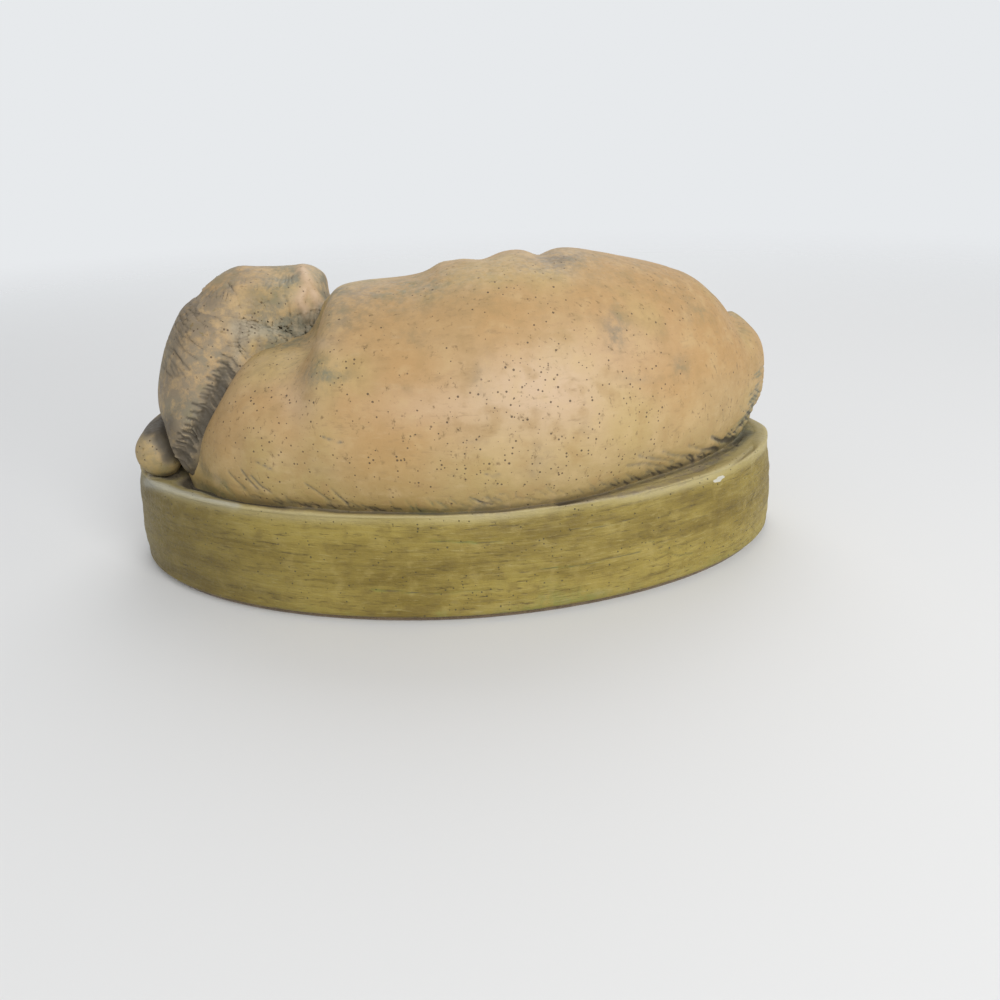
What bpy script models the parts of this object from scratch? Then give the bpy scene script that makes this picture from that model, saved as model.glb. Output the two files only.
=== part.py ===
"""Sleeping puppy figurine: a curled puppy of cast resin on an oval base, with a felt pad under the base.

The base's long axis is X. The puppy's back faces -Y, its head is at -X and its face and paws look to +Y.
The underside of the felt lies on Z = 0. Every soft form is a loft: rings of points round a smooth centre line.
"""

import math

import bpy
import numpy as np

# Driving dimensions, in metres
BASE_LENGTH = 0.150
BASE_WIDTH = 0.084
BASE_TOP = 0.0237
DOG_HEIGHT = 0.045
SEAM = 0.0003

# Base: a slightly flared oval block with a round lip and a sunk top
HALF_LENGTH = BASE_LENGTH / 2
HALF_WIDTH = BASE_WIDTH / 2
FLARE = 0.013 * BASE_LENGTH
BULGE = 0.3 * FLARE
LIP_WIDTH = 0.024 * BASE_WIDTH
LIP_RADIUS = 0.45 * LIP_WIDTH
LIP_HEIGHT = 0.0006
FOOT_RADIUS = 0.0012
OVAL_POWER = 1.9

# Felt pad, glued inside the base's foot
FELT_THICKNESS = 0.001
FELT_INSET = 0.0015

BASE_FLOOR = BASE_TOP - LIP_HEIGHT

# Points round each piece and rings between two stations
OVAL_POINTS = 72
BODY_POINTS = 34
HEAD_POINTS = 26
EAR_POINTS = 20
THIGH_POINTS = 24
LIMB_POINTS = 16
DOME_RINGS = 3
QUARTER_TURNS = (30, 60, 90)

# Linear colours and roughness
DOG_COLOUR = (0.43, 0.27, 0.13)
DOG_ROUGHNESS = 0.55
BASE_COLOUR = (0.26, 0.20, 0.06)
BASE_ROUGHNESS = 0.5
FELT_COLOUR = (0.14, 0.10, 0.06)
FELT_ROUGHNESS = 0.95


def place(rows, across):
    """A piece's stations, in metres.

    A station gives its centre in per cent of the base's half length, of its half width and of the puppy's
    height, counted from the base's sunk top. After it come the distances from the centre to the piece's left,
    right, top and bottom, seen along the piece. Those to the sides are in per cent of the length given as
    across, and those up and down in per cent of the puppy's height.
    """
    rows = np.array(rows, float) / 100
    rows[:, 0] *= HALF_LENGTH
    rows[:, 1] *= HALF_WIDTH
    rows[:, 2] = BASE_FLOOR + rows[:, 2] * DOG_HEIGHT
    rows[:, 3:5] *= across
    rows[:, 5:7] *= DOG_HEIGHT
    return rows


def smooth_rows(rows, steps):
    """Rows on a Catmull-Rom curve through the given ones, with this many steps from each to the next."""
    padded = np.vstack([2 * rows[0] - rows[1], rows, 2 * rows[-1] - rows[-2]])
    made = []
    for index in range(1, len(rows)):
        before, start, stop, after = padded[index - 1 : index + 3]
        for step in range(steps):
            t = step / steps
            slope = (stop - before) * t
            bend = (2 * before - 5 * start + 4 * stop - after) * t**2
            twist = (3 * start - before - 3 * stop + after) * t**3
            made.append(start + 0.5 * (slope + bend + twist))
    made.append(rows[-1])
    return np.array(made)


def unit(vectors):
    return vectors / np.linalg.norm(vectors, axis=-1, keepdims=True)


def frames(centres, heading, roll):
    """Directions along, sideways and up at each centre, for a fixed heading or for the centre line itself."""
    if heading is None:
        along = unit(np.gradient(centres, axis=0))
    else:
        along = np.tile(np.array(heading, float), (len(centres), 1))
    level = unit(np.cross(along, (0, 0, 1)))
    upright = np.cross(level, along)
    turn = math.radians(roll)
    side = level * math.cos(turn) - upright * math.sin(turn)
    return along, side, np.cross(side, along)


def ring_points(sizes, points, power):
    """Side and up offsets of one ring: an oval with its own size to the left, right, up and down."""
    left, right, up, down = sizes
    angle = np.arange(points) * 2 * math.pi / points
    side = np.sign(np.cos(angle)) * np.abs(np.cos(angle)) ** (2 / power)
    rise = np.sign(np.sin(angle)) * np.abs(np.sin(angle)) ** (2 / power)
    return side * np.where(side < 0, left, right), rise * np.where(rise < 0, down, up)


def loft_rings(rows, points, power, heading, roll, domes):
    """Rings through the rows, with a round end of the given depth before the first and after the last.

    The points run from the right side downward, so that the faces between rings look outward.
    """
    centres = rows[:, :3]
    along, side, up = frames(centres, heading, roll)
    rings = []
    for index, row in enumerate(rows):
        across, rise = ring_points(row[3:7], points, power)
        rings.append(centres[index] + np.outer(across, side[index]) + np.outer(rise, up[index]))
    first, last = [], []
    for ring in range(1, DOME_RINGS + 1):
        turn = ring / DOME_RINGS * math.pi / 2
        shrink, shift = math.cos(turn), math.sin(turn)
        first.append(centres[0] + (rings[0] - centres[0]) * shrink - along[0] * domes[0] * shift)
        last.append(centres[-1] + (rings[-1] - centres[-1]) * shrink + along[-1] * domes[1] * shift)
    return np.array(first[::-1] + rings + last)[:, ::-1]


def closed_tube(rings):
    """Points and faces of a tube whose first and last rings are single points."""
    count = rings.shape[1]
    inner = rings[1:-1]
    points = np.vstack([rings[0, :1], inner.reshape(-1, 3), rings[-1, :1]])
    faces = []
    for row in range(len(inner) - 1):
        start = 1 + row * count
        for i in range(count):
            j = (i + 1) % count
            faces.append((start + i, start + j, start + count + j, start + count + i))
    last = 1 + (len(inner) - 1) * count
    for i in range(count):
        j = (i + 1) % count
        faces.append((0, 1 + j, 1 + i))
        faces.append((len(points) - 1, last + i, last + j))
    return points, faces


def painted(name, colour, roughness):
    material = bpy.data.materials.new(name)
    material.use_nodes = True
    shader = material.node_tree.nodes["Principled BSDF"]
    shader.inputs["Base Color"].default_value = (*colour, 1)
    shader.inputs["Roughness"].default_value = roughness
    shader.inputs["Metallic"].default_value = 0
    material.diffuse_color = (*colour, 1)
    return material


def solid(name, rings, colour, roughness):
    """A named object from a stack of rings, closed at both ends."""
    points, faces = closed_tube(rings)
    mesh = bpy.data.meshes.new(name)
    mesh.from_pydata(points.tolist(), [], faces)
    mesh.shade_smooth()
    mesh.materials.append(painted(name, colour, roughness))
    made = bpy.data.objects.new(name, mesh)
    bpy.context.collection.objects.link(made)
    return made


def clear_of(piece, others):
    """Cuts the others out of the piece, each grown by one seam, so that they touch without overlapping."""
    for other in others:
        cutter = bpy.data.objects.new(f"{piece.name}_less_{other.name}", other.data)
        cutter.hide_render = True
        cutter.display_type = "WIRE"
        bpy.context.collection.objects.link(cutter)
        grow = cutter.modifiers.new("Seam", "DISPLACE")
        grow.mid_level = 0
        grow.strength = SEAM
        cut = piece.modifiers.new(f"Clear of {other.name}", "BOOLEAN")
        cut.operation = "DIFFERENCE"
        cut.solver = "EXACT"
        cut.object = cutter


def joined(piece, other):
    """Joins the other shape to the piece. The other is then a guide, not a node of its own."""
    other.hide_render = True
    other.display_type = "WIRE"
    union = piece.modifiers.new(f"Join {other.name}", "BOOLEAN")
    union.operation = "UNION"
    union.solver = "EXACT"
    union.object = other


def with_mounds(rings, mounds):
    """Lifts the rings in soft mounds, or sinks them in dips where a mound's height is below zero.

    A mound gives its centre as a station does, its reach in the same three ways, and its height in per cent
    of the puppy's height. The lift is the height times e to the minus squared distance over the reach.
    """
    for mound in np.array(mounds, float).reshape(-1, 7) / 100:
        scale = np.array((HALF_LENGTH, HALF_WIDTH, DOG_HEIGHT))
        centre = mound[:3] * scale + (0, 0, BASE_FLOOR)
        away = (rings - centre) / (mound[3:6] * scale)
        rings[..., 2] += mound[6] * DOG_HEIGHT * np.exp(-(away**2).sum(-1))
    return rings


def dog_form(name, rows, across, points, steps, heading, domes, power=2.1, roll=0, mounds=()):
    """A loft in the puppy's resin through the given stations."""
    rows = smooth_rows(place(rows, across), steps)
    depths = [HALF_LENGTH * dome / 100 for dome in domes]
    rings = with_mounds(loft_rings(rows, points, power, heading, roll, depths), mounds)
    return solid(name, rings, DOG_COLOUR, DOG_ROUGHNESS)


def oval_ring(offset, height):
    """One ring of the base's outline, moved outward by the offset."""
    half = BASE_LENGTH / 2 + offset, BASE_WIDTH / 2 + offset
    across, rise = ring_points((half[0], half[0], half[1], half[1]), OVAL_POINTS, OVAL_POWER)
    return np.column_stack([across, rise, np.full(OVAL_POINTS, height)])


def make_felt_pad():
    edge = FLARE - FELT_INSET
    soft = 0.25 * FELT_THICKNESS
    profile = [
        (edge - soft, 0),
        (edge, soft),
        (edge, FELT_THICKNESS - soft),
        (edge - soft, FELT_THICKNESS),
    ]
    middle = -BASE_WIDTH / 2
    rings = [oval_ring(middle, 0) * (0, 0, 1)]
    rings += [oval_ring(offset, height) for offset, height in profile]
    rings += [oval_ring(middle, FELT_THICKNESS) * (0, 0, 1)]
    return solid("felt_pad", np.array(rings), FELT_COLOUR, FELT_ROUGHNESS)


def base_profile():
    """Offset and height of the base's rings: foot, round side, lip and the sunk top inside it."""
    foot = FELT_THICKNESS + SEAM
    profile = [(FLARE - FOOT_RADIUS, foot)]
    for turn in QUARTER_TURNS:
        angle = math.radians(turn)
        step = FOOT_RADIUS * math.sin(angle) - FOOT_RADIUS
        profile.append((FLARE + step, foot + FOOT_RADIUS * (1 - math.cos(angle))))
    low, high = foot + FOOT_RADIUS, BASE_TOP - LIP_RADIUS
    for share in (0.25, 0.5, 0.75, 1):
        bulge = BULGE * math.sin(math.pi * share)
        profile.append((FLARE * (1 - share) + bulge, low + (high - low) * share))
    for turn in QUARTER_TURNS:
        angle = math.radians(turn)
        inward = LIP_RADIUS * (1 - math.cos(angle))
        profile.append((-inward, high + LIP_RADIUS * math.sin(angle)))
    profile.append((LIP_RADIUS - LIP_WIDTH, BASE_TOP))
    profile.append((-LIP_WIDTH, BASE_FLOOR))
    return profile


def make_base():
    """The oval base: rings up its side, over the lip and down to its sunk top."""
    profile = base_profile()
    middle = -BASE_WIDTH / 2
    rings = [oval_ring(middle, profile[0][1]) * (0, 0, 1)]
    rings += [oval_ring(offset, height) for offset, height in profile]
    rings += [oval_ring(middle, profile[-1][1]) * (0, 0, 1)]
    return solid("base", np.array(rings), BASE_COLOUR, BASE_ROUGHNESS)


def make_body():
    """The torso on its side, from the shoulder by the neck crease to the rump at the right."""
    rows = [
        (-76, -36, 5, 8, 8, 11, 17),
        (-71, -36, 11, 16, 19, 19, 27),
        (-65, -32, 16, 30, 34, 27, 37),
        (-58, -28, 20, 42, 46, 36, 43),
        (-50, -26, 23, 50, 56, 38, 46),
        (-41, -26, 24, 58, 61, 41, 48),
        (-35, -28, 25, 63, 63, 57, 48),
        (-28, -30, 25, 65, 64, 63, 49),
        (-8, -29, 25, 69, 71, 66, 50),
        (12, -26, 25, 71, 75, 73, 50),
        (33, -17, 25, 70, 75, 73, 50),
        (53, -6, 25, 66, 67, 67, 48),
        (73, 8, 24, 56, 60, 56, 44),
        (88, 17, 23, 36, 42, 38, 36),
        (97, 20, 24, 20, 24, 26, 18),
    ]
    shoulder = (1, -19, 95, 7, 33, 22, 2.2)
    waist = (25, -10, 100, 3.5, 33, 18, -3.1)
    hip = (35, -5, 100, 5.5, 33, 22, 0.9)
    rump = (83, 0, 78, 4.7, 33, 20, -5.8)
    mounds = [shoulder, waist, hip, rump]
    return dog_form("body", rows, HALF_WIDTH, BODY_POINTS, 5, (1, 0, 0), (4, 3), 2.3, mounds=mounds)


def make_head():
    """The head: nape toward the back of the puppy, crown up and muzzle to +Y."""
    rows = [
        (-73, -43, 22, 9, 10, 20, 24),
        (-71, -31, 28, 14, 18, 38, 34),
        (-69, -12, 31, 20, 30, 46, 36),
        (-68, 12, 31, 23, 30, 48, 36),
        (-69, 34, 31, 20, 20, 41, 34),
        (-67, 50, 30, 15, 15, 28, 26),
        (-63, 64, 29, 11, 11, 20, 20),
        (-60, 73, 28, 9, 9, 15, 15),
        (-59, 78, 27, 7, 7, 11, 12),
    ]
    return dog_form("head", rows, HALF_LENGTH, HEAD_POINTS, 3, (0, 1, 0), (2.5, 4), 1.95)


def make_right_ear():
    """The upper ear: a thick flap thrown back over the neck, with a blunt round tip."""
    rows = [
        (-73, -4, 66, 22, 12, 9, 12),
        (-69, -4, 74, 24, 14, 12, 13),
        (-62, -4, 79, 24, 15, 11, 10),
        (-51, -4, 80, 22, 15, 10, 10),
        (-42, -4, 80, 20, 14, 10, 10),
        (-38, -4, 78, 17, 12, 9, 8),
    ]
    return dog_form(
        "right_ear", rows, HALF_WIDTH, EAR_POINTS, 3, (1, 0, 0), (2, 2), 2.6, 28
    )


def make_left_ear():
    """The lower ear, hanging forward along the cheek on the outer side of the head."""
    rows = [
        (-86, 6, 46, 3, 3, 11, 11),
        (-89, 18, 42, 3.4, 3.4, 16, 16),
        (-90, 33, 34, 3.4, 3.4, 18, 18),
        (-87, 48, 25, 3.2, 3.2, 15, 15),
        (-83, 59, 19, 3, 3, 9, 9),
    ]
    return dog_form("left_ear", rows, HALF_LENGTH, LIMB_POINTS, 3, (0, 1, 0), (1.5, 2))


def make_left_foreleg():
    """The lower foreleg, which wraps the head along the rim and ends in a paw over the lip."""
    rows = [
        (-62, 76, 12, 10, 10, 9, 10),
        (-76, 62, 12, 11, 11, 10, 11),
        (-88, 34, 12, 11, 11, 10, 11),
        (-91, 4, 12, 10, 11, 10, 12),
        (-89, -20, 12, 12, 12, 11, 12),
        (-88, -30, 12, 12, 12, 11, 12),
    ]
    return dog_form("left_foreleg", rows, HALF_WIDTH, LIMB_POINTS, 3, None, (3, 4.5))


def make_right_foreleg():
    """The upper foreleg, folded in front of the chest with its paw under the chin."""
    rows = [
        (-6, 24, 34, 22, 22, 22, 24),
        (-19, 50, 26, 19, 19, 18, 20),
        (-34, 69, 17, 14, 14, 14, 15),
        (-48, 74, 12, 12, 12, 12, 12),
        (-59, 70, 12, 12, 12, 12, 12),
    ]
    return dog_form("right_foreleg", rows, HALF_WIDTH, LIMB_POINTS, 3, None, (5, 5))


def make_right_hind_leg():
    """The upper hind leg: a round thigh folded against the belly, joined to the foot under it."""
    thigh = [
        (80, 28, 38, 20, 20, 22, 22),
        (66, 42, 42, 30, 30, 32, 32),
        (50, 55, 38, 30, 30, 30, 30),
        (36, 66, 31, 25, 25, 22, 24),
        (25, 71, 26, 18, 18, 15, 17),
    ]
    foot = [
        (62, 62, 12, 9, 9, 9, 12),
        (48, 74, 12, 10, 10, 10, 12),
        (34, 81, 11, 10, 10, 9, 12),
        (22, 84, 11, 12, 12, 11, 12),
        (16, 85, 11, 11, 11, 10, 12),
    ]
    leg = dog_form("right_hind_leg", thigh, HALF_WIDTH, THIGH_POINTS, 4, None, (8, 8))
    foot = dog_form("right_hind_foot", foot, HALF_WIDTH, LIMB_POINTS, 3, None, (3, 4.5))
    joined(leg, foot)
    return leg, foot


def make_left_hind_leg():
    """The lower hind leg: only its foot comes out from under the belly."""
    rows = [
        (26, 50, 12, 10, 10, 9, 12),
        (10, 68, 11, 10, 10, 9, 12),
        (-1, 79, 11, 12, 12, 11, 12),
        (-7, 82, 11, 11, 11, 10, 12),
    ]
    return dog_form("left_hind_leg", rows, HALF_WIDTH, LIMB_POINTS, 3, None, (3, 4.5))


def make_tail():
    """The tail, curled from the rump along the far rim and over the hind foot."""
    rows = [
        (90, 22, 16, 10, 10, 11, 11),
        (87, 37, 15, 10, 10, 11, 11),
        (78, 54, 15, 10, 10, 10, 10),
        (65, 69, 19, 9, 9, 8, 9),
        (51, 78, 25, 7, 7, 6, 7),
        (40, 82, 26, 5, 5, 4, 5),
    ]
    return dog_form("tail", rows, HALF_WIDTH, LIMB_POINTS, 3, None, (3, 2.5))


def main():
    for old in list(bpy.data.objects):
        bpy.data.objects.remove(old)
    make_felt_pad()
    base = make_base()
    body = make_body()
    right_ear = make_right_ear()
    left_foreleg = make_left_foreleg()
    right_foreleg = make_right_foreleg()
    head = make_head()
    left_ear = make_left_ear()
    right_hind_leg, right_hind_foot = make_right_hind_leg()
    left_hind_leg = make_left_hind_leg()
    tail = make_tail()
    clear_of(body, [base, right_ear])
    clear_of(left_foreleg, [base, body])
    clear_of(right_foreleg, [base, body, left_foreleg])
    clear_of(head, [base, body, right_ear, left_foreleg, right_foreleg])
    clear_of(left_ear, [head, left_foreleg])
    clear_of(right_hind_leg, [base, body])
    clear_of(left_hind_leg, [base, body, right_hind_leg, right_hind_foot])
    clear_of(tail, [base, body, right_hind_leg, right_hind_foot])


main()
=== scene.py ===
"""Looks of the sleeping puppy figurine: cast resin with an aged wash, on an oval base with a felt pad."""

import math

import bpy
import numpy as np
from mathutils import Matrix, Vector


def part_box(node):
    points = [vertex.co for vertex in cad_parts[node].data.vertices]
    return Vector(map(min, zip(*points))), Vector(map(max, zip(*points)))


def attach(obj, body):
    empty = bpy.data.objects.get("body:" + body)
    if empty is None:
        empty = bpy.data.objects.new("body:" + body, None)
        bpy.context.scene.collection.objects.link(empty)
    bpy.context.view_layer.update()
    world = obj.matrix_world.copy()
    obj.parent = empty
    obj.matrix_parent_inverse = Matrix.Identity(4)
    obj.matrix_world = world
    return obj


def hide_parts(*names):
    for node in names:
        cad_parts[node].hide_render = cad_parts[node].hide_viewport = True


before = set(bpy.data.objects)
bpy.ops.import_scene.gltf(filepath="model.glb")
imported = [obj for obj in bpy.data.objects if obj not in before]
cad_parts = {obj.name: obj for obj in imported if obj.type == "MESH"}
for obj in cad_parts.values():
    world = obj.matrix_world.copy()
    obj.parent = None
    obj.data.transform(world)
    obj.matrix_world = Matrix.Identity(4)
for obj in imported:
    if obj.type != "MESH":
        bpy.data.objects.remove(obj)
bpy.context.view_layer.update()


# Camera
# The photographer stands at the puppy's back and looks down at it by 25 degrees, a little from the left. The
# place and the lens are a fit to the two rims of the oval base.

VIEW_PLACE = Vector((-0.0004, -0.1734, 0.0877))
VIEW_TURN = math.radians(3.2)
VIEW_DOWN = math.radians(25)
VIEW_ROLL = math.radians(-1.8)
VIEW_LENS = 27.36
VIEW_SENSOR = 36


def aim(turn, down, roll):
    """Rotation of a camera that faces +Y, turned to +X, tipped down and rolled by the given angles."""
    look = Matrix.Rotation(-turn, 3, "Z") @ Matrix.Rotation(math.pi / 2 - down, 3, "X")
    return look @ Matrix.Rotation(roll, 3, "Z")


lens = bpy.data.cameras.new("photo_lens")
lens.lens = VIEW_LENS
lens.sensor_width = VIEW_SENSOR
lens.clip_start = 0.001
camera = bpy.data.objects.new("photo_camera", lens)
camera.matrix_world = Matrix.Translation(VIEW_PLACE) @ aim(VIEW_TURN, VIEW_DOWN, VIEW_ROLL).to_4x4()
bpy.context.collection.objects.link(camera)
bpy.context.scene.camera = camera


# Base
# An oval block of cast resin, flared a little toward its foot. Its round lip runs round a sunk top that the
# puppy lies on, and its side was drawn over with a modelling tool before it was moulded.

base_low, base_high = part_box("base")
BASE_TOP = base_high.z
BASE_FOOT = base_low.z
FOOT_LENGTH = base_high.x - base_low.x
FOOT_TO_HALF = 2.052
WIDTH_TO_LENGTH = 0.56
HALF_LENGTH = FOOT_LENGTH / FOOT_TO_HALF
HALF_WIDTH = HALF_LENGTH * WIDTH_TO_LENGTH
FLARE = FOOT_LENGTH / 2 - HALF_LENGTH
LIP_WIDTH = 0.048 * HALF_WIDTH
LIP_RADIUS = 0.45 * LIP_WIDTH
LIP_HEIGHT = 0.0006
FOOT_RADIUS = 0.0012
OVAL_POWER = 1.9


def oval(angle, power):
    """Cosine and sine of the angle, each raised so that together they trace a superellipse."""
    side, rise = np.cos(angle), np.sin(angle)
    return np.sign(side) * np.abs(side) ** (2 / power), np.sign(rise) * np.abs(rise) ** (2 / power)


def oval_rings(halves, heights, around):
    """A grid of level ovals: each point is the ring's two half sizes times the oval's two values."""
    across, rise = oval(np.linspace(0, 2 * math.pi, around, endpoint=False), OVAL_POWER)
    levels = np.repeat(heights[:, None], around, 1)
    return np.stack([halves[:, :1] * across, halves[:, 1:] * rise, levels], -1)


def ripple(points, size, seed, waves=14):
    """Smooth chance values near -1 to 1: a sum of sine waves about as long as the size, each its own way."""
    chance = np.random.default_rng(seed)
    ways = chance.normal(size=(waves, 3))
    ways /= np.linalg.norm(ways, axis=1, keepdims=True)
    ways *= 2 * math.pi / np.asarray(size) * chance.uniform(0.6, 1.7, (waves, 1))
    phases = chance.uniform(0, 2 * math.pi, waves)
    return np.sin(points @ ways.T + phases).sum(-1) / math.sqrt(waves)


def grid_normals(grid):
    """Unit normals of a grid that is closed round its rings: the cross product of its two slopes."""
    along = np.gradient(grid, axis=0)
    around = np.roll(grid, -1, axis=1) - np.roll(grid, 1, axis=1)
    normals = np.cross(around, along)
    normals[0] = normals[1].mean(0)
    normals[-1] = normals[-2].mean(0)
    return normals / np.maximum(np.linalg.norm(normals, axis=-1, keepdims=True), 1e-12)


def closed_skin(name, grid, **values):
    """A mesh object from a grid of rings whose first and last rings are single points, faces outward.

    Each further argument holds a value for every grid point and becomes an attribute of the mesh.
    """
    rings, count = grid.shape[:2]
    inner = np.arange((rings - 2) * count).reshape(rings - 2, count) + 1
    turned = np.roll(inner, -1, axis=1)
    quads = np.stack([inner[:-1], turned[:-1], turned[1:], inner[1:]], -1).reshape(-1, 4)
    last = (rings - 2) * count + 1
    tips = np.vstack([
        np.stack([np.full(count, 0), turned[0], inner[0]], -1),
        np.stack([np.full(count, last), inner[-1], turned[-1]], -1),
    ])
    mesh = bpy.data.meshes.new(name)
    mesh.vertices.add(last + 1)
    mesh.loops.add(quads.size + tips.size)
    mesh.polygons.add(len(quads) + len(tips))

    def flat(held):
        return np.concatenate([held[:1, 0], held[1:-1].reshape(-1, *held.shape[2:]), held[-1:, 0]])

    mesh.vertices.foreach_set("co", flat(grid).ravel().astype(np.float32))
    mesh.loops.foreach_set("vertex_index", np.concatenate([quads.ravel(), tips.ravel()]).astype(np.int32))
    starts = np.concatenate([np.arange(len(quads)) * 4, quads.size + np.arange(len(tips)) * 3])
    mesh.polygons.foreach_set("loop_start", starts.astype(np.int32))
    mesh.update(calc_edges=True)
    mesh.shade_smooth()
    for key, value in values.items():
        mesh.attributes.new(key, "FLOAT", "POINT").data.foreach_set("value", flat(value).astype(np.float32))
    made = bpy.data.objects.new(name, mesh)
    bpy.context.collection.objects.link(made)
    return made


def base_profile():
    """Points of the base's outline from under its foot to the middle of its top: offset and height."""
    turn = np.linspace(0, math.pi / 2, 7)
    foot = [FLARE - FOOT_RADIUS + FOOT_RADIUS * np.sin(turn), BASE_FOOT + FOOT_RADIUS * (1 - np.cos(turn))]
    high = BASE_TOP - LIP_RADIUS
    share = np.linspace(0, 1, 60)[1:-1]
    bulge = 0.3 * FLARE * np.sin(math.pi * share)
    low = BASE_FOOT + FOOT_RADIUS
    side = [FLARE * (1 - share) + bulge, low + (high - low) * share]
    lip = [LIP_RADIUS * (np.cos(turn) - 1), high + LIP_RADIUS * np.sin(turn)]
    share = np.concatenate([np.linspace(0, 0.32, 62), np.linspace(0.32, 1, 16)[1:]])[1:]
    sunk = LIP_HEIGHT * TOP_SINK * np.minimum(share / 0.06, 1) ** 2
    top = [-LIP_RADIUS - share * (HALF_WIDTH - LIP_RADIUS), BASE_TOP - sunk]
    under = np.linspace(0, 1, 6)[:-1]
    below = [-HALF_WIDTH + under * (HALF_WIDTH + FLARE - FOOT_RADIUS), np.full(5, BASE_FOOT)]
    return np.concatenate([below, foot, side, lip, top], axis=1).T


TOP_SINK = 0.45
BASE_AROUND = 620
ALONG_THE_SIDE = (0.06, 0.06, 1)
TOOL_WAVES = [(0.0022, 3, 0.00004), (0.006, 4, 0.00012)]
SIDE_WAVE = 0.00016
SIDE_DRAFT = 0.0003
LIP_WAVE = 0.00016
LIP_BAND = 0.0014
FOOT_SHADE = 0.11
RIM_PLACE = 0.965
RIM_BAND = 0.05
profile = base_profile()
half = np.array([HALF_LENGTH, HALF_WIDTH]) + profile[:, :1]
half[profile[:, 0] <= -HALF_WIDTH * 0.999] = 0
base_grid = oval_rings(np.maximum(half, 0), profile[:, 1], BASE_AROUND)
normals = grid_normals(base_grid)
height = (base_grid[..., 2] - BASE_FOOT) / (BASE_TOP - BASE_FOOT)
on_side = np.clip(np.abs(normals[..., 2]) * -3 + 2, 0, 1) * np.clip(height * 8, 0, 1)
on_top = np.clip(normals[..., 2] * 2 - 0.6, 0, 1)
long_way = base_grid * ALONG_THE_SIDE
tooled = sum(ripple(long_way, size, seed) * deep for size, seed, deep in TOOL_WAVES)
tooled += ripple(base_grid, 0.026, 5) * SIDE_WAVE
on_lip = np.exp(-((base_grid[..., 2] - BASE_TOP) / LIP_BAND) ** 2) * (profile[:, :1] > -0.006)
wavy_lip = ripple(base_grid * (1, 1, 0.2), 0.014, 6) * LIP_WAVE * on_lip
base_grid += normals * (tooled * on_side + wavy_lip - SIDE_DRAFT * on_side)[..., None]
# Painted shade: the base's side darkens toward its foot, here in the wash and in the shade value below.
near_foot = np.exp(-np.clip(height, 0, None) / FOOT_SHADE)
# A painted highlight along the rim, uneven at random.
rim = np.exp(-((height - RIM_PLACE) / RIM_BAND) ** 2) * (profile[:, :1] > -LIP_RADIUS * 1.2)
rim *= np.clip(0.65 + ripple(base_grid * (1, 1, 0.1), 0.03, 7) * 0.4, 0.1, 1)
base_wash = near_foot * 0.65 + on_top * 0.08 + ripple(long_way, 0.007, 8) * on_side * 0.07

PICTURE = 1000


def in_picture(points):
    """Where points fall in the 1000 pixel picture: right of and below its top left corner."""
    seen = np.array(camera.matrix_world.inverted())
    local = points @ seen[:3, :3].T + seen[:3, 3]
    pixels = PICTURE * VIEW_LENS / VIEW_SENSOR / -local[..., 2]
    half = PICTURE / 2
    return np.stack([half + local[..., 0] * pixels, half - local[..., 1] * pixels], -1)


def line_distance(points, line):
    """Distance from each point to an open line through the given corners, in the same two or three axes."""
    nearest = np.full(points.shape[:-1], np.inf)
    for start, stop in zip(line[:-1], line[1:]):
        run = stop - start
        share = np.clip(((points - start) @ run) / max(run @ run, 1e-12), 0, 1)
        nearest = np.minimum(nearest, np.linalg.norm(points - start - share[..., None] * run, axis=-1))
    return nearest


def marked(space, lines, width):
    """How strongly each point lies on the lines: e to the minus squared distance over the width."""
    strength = np.zeros(space.shape[:-1])
    for line in lines:
        line = np.array(line, float)
        low, high = line.min(0) - 3 * width, line.max(0) + 3 * width
        near = ((space > low) & (space < high)).all(-1)
        away = line_distance(space[near], line) / width
        strength[near] = np.maximum(strength[near], np.exp(-(away**2)))
    return strength


def facing(grid, way):
    """From 0 where the surface faces away to 1 where it faces the given way, even if only by a quarter."""
    way = np.array(way, float)
    return np.clip(grid_normals(grid) @ (way / np.linalg.norm(way)) * 4, 0, 1)


TO_VIEW = VIEW_PLACE - Vector((0, 0, 0.04))


def cut_in(grid, wash, mark, depth, stain):
    """Each point sinks along its normal by the depth in millimetres times its mark, and is darkened there.
    """
    return grid - grid_normals(grid) * (mark * depth / 1000)[..., None], np.clip(wash + mark * stain, 0, 1)


def draw_on(grid, wash, cuts):
    """Cuts sets of lines into the surface that faces the photo's viewer, and darkens them.

    A set gives its lines and their width in picture pixels, their depth in millimetres and their darkening.
    A depth below zero raises a ridge.
    """
    for lines, width, depth, stain in cuts:
        mark = marked(in_picture(grid), lines, width) * facing(grid, TO_VIEW)
        grid, wash = cut_in(grid, wash, mark, depth, stain)
    return grid, wash


TOOL_LINES = [
    [(648, 541), (662, 543), (681, 548)],
    [(664, 552), (680, 556), (694, 553)],
    [(250, 556), (300, 563), (356, 566)],
    [(190, 529), (226, 541), (270, 549)],
    [(372, 590), (430, 594), (498, 590)],
    [(520, 571), (580, 566), (640, 552)],
    [(430, 541), (480, 543), (520, 541)],
    [(566, 530), (600, 527), (640, 517)],
]
# A fold cut into the rim, with painted shade in it.
RIM_FOLD = [[(640, 497), (668, 489), (700, 480), (730, 467), (753, 447)]]
# Painted shade in the hollows where the puppy's lower edge meets the base, at the right and at the left.
RIGHT_HOLLOW = [[(560, 503), (620, 495), (660, 485), (700, 469), (730, 451), (750, 432)]]
LEFT_RIM = [[(148, 482), (176, 489), (206, 497), (236, 503)]]
LEFT_HOLLOW = [[(164, 474), (186, 482), (212, 490), (244, 497), (280, 502)]]
CHIP = [[(715, 481), (720, 480)], [(719, 478), (723, 477)]]
base_grid, base_wash = draw_on(base_grid, base_wash, [
    (TOOL_LINES, 1.0, 0.20, 0.90),
    (RIM_FOLD, 2.4, 0.35, 0.22),
    (RIGHT_HOLLOW, 4, 0.20, 0.55),
    (LEFT_RIM, 5, -0.25, 0.0),
    (LEFT_HOLLOW, 5, 0.35, 0.40),
])
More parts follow.
